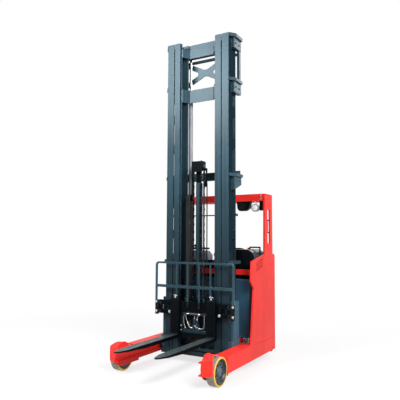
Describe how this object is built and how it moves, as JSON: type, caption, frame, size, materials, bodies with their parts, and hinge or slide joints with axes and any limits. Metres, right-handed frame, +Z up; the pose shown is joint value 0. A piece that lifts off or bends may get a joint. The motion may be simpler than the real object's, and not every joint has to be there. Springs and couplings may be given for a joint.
{
  "type": "stand-on reach truck",
  "caption": "Stand-on reach truck with straddle legs, a telescoping mast that reaches forward, a side-shifting tilting fork carriage and an overhead guard.",
  "frame": {"origin": "on the floor, under the middle of the parked truck's bounding box", "axes": "+X to the right as seen from the forks, +Y to the rear, +Z up"},
  "size_m": [1.27, 2.028, 3.855],
  "materials": {
    "red_paint": "gloss paint",
    "slate_paint": "satin paint",
    "black_paint": "satin paint",
    "blue_grey_paint": "satin paint",
    "bright_steel": "bright",
    "chrome": "polished",
    "black_plastic": "fine grain",
    "pale_plastic": "fine grain",
    "rubber": "matte",
    "polyurethane": "matte",
    "lamp_white": "clear lens",
    "lift_grey": "satin paint"
  },
  "bodies": {
    "truck": {"chassis": "red_paint", "wheel_hoods": "red_paint", "load_axles": "bright_steel", "battery": "blue_grey_paint", "cross_bar": "red_paint", "side_panel_left": "red_paint", "side_panel_right": "red_paint", "rear_cover": "red_paint", "platform": "rubber", "dash": "black_plastic", "console": "pale_plastic", "steering_wheel": "black_plastic", "grab_loop": "black_plastic", "guard": "red_paint", "guard_handles": "black_plastic", "work_lamp": "lamp_white", "guard_boxes": "black_plastic", "drive_motor": "slate_paint", "reach_barrel": "black_paint"},
    "load_wheel_left": {"load_tyre_left": "polyurethane", "load_hub_left": "slate_paint"},
    "load_wheel_right": {"load_tyre_right": "polyurethane", "load_hub_right": "slate_paint"},
    "steer_unit": {"drive_unit": "slate_paint"},
    "drive_wheel": {"drive_wheel": "polyurethane"},
    "caster": {"caster_fork": "bright_steel"},
    "caster_wheel": {"caster_wheel": "polyurethane"},
    "reach": {"reach_frame": "slate_paint", "outer_mast": "slate_paint", "mast_ties": "slate_paint", "lift_barrels": "lift_grey", "reach_rod": "chrome"},
    "middle": {"middle_mast": "slate_paint", "lift_rods": "chrome"},
    "inner": {"inner_mast": "slate_paint", "free_lift_barrel": "slate_paint"},
    "head": {"crosshead": "slate_paint", "chains": "black_paint", "hoses": "rubber"},
    "carriage": {"lift_carriage": "black_paint"},
    "tilt": {"tilt_frame": "slate_paint", "shift_cylinder": "chrome"},
    "shift": {"fork_carriage": "black_paint", "forks": "black_paint", "backrest": "slate_paint"}
  },
  "joints": [
    {"name": "load_wheel_left_spin", "type": "hinge", "parent": "truck", "child": "load_wheel_left", "pos_m": [-0.5875, -0.47, 0.1425], "axis": [1, 0, 0], "continuous": true},
    {"name": "load_wheel_right_spin", "type": "hinge", "parent": "truck", "child": "load_wheel_right", "pos_m": [0.5875, -0.47, 0.1425], "axis": [1, 0, 0], "continuous": true},
    {"name": "drive_steer", "type": "hinge", "parent": "truck", "child": "steer_unit", "pos_m": [0.332, 0.8, 0.27], "axis": [0, 0, 1], "range_deg": [-90, 90]},
    {"name": "drive_spin", "type": "hinge", "parent": "steer_unit", "child": "drive_wheel", "pos_m": [0.332, 0.8, 0.125], "axis": [1, 0, 0], "continuous": true},
    {"name": "caster_swivel", "type": "hinge", "parent": "truck", "child": "caster", "pos_m": [-0.4, 0.8, 0.21], "axis": [0, 0, 1], "continuous": true},
    {"name": "caster_spin", "type": "hinge", "parent": "caster", "child": "caster_wheel", "pos_m": [-0.4, 0.83, 0.075], "axis": [1, 0, 0], "continuous": true},
    {"name": "mast_reach", "type": "slide", "parent": "truck", "child": "reach", "axis": [0, -1, 0], "range_m": [0, 0.5]},
    {"name": "middle_lift", "type": "slide", "parent": "reach", "child": "middle", "axis": [0, 0, 1], "range_m": [0, 2.6]},
    {"name": "inner_lift", "type": "slide", "parent": "middle", "child": "inner", "axis": [0, 0, 1], "range_m": [0, 2.6]},
    {"name": "free_lift", "type": "slide", "parent": "inner", "child": "carriage", "axis": [0, 0, 1], "range_m": [-0.255, 2.2]},
    {"name": "head_lift", "type": "slide", "parent": "inner", "child": "head", "axis": [0, 0, 1], "range_m": [-0.1275, 1.1], "deforming": ["chains", "hoses"]},
    {"name": "fork_tilt", "type": "hinge", "parent": "carriage", "child": "tilt", "pos_m": [0, 0.12, 0.74], "axis": [1, 0, 0], "range_deg": [-4, 2]},
    {"name": "side_shift", "type": "slide", "parent": "tilt", "child": "shift", "axis": [1, 0, 0], "range_m": [-0.075, 0.075]}
  ],
  "couplings": [
    {"joint": "inner_lift", "follows": "middle_lift", "ratio": 1},
    {"joint": "head_lift", "follows": "free_lift", "ratio": 0.5}
  ]
}
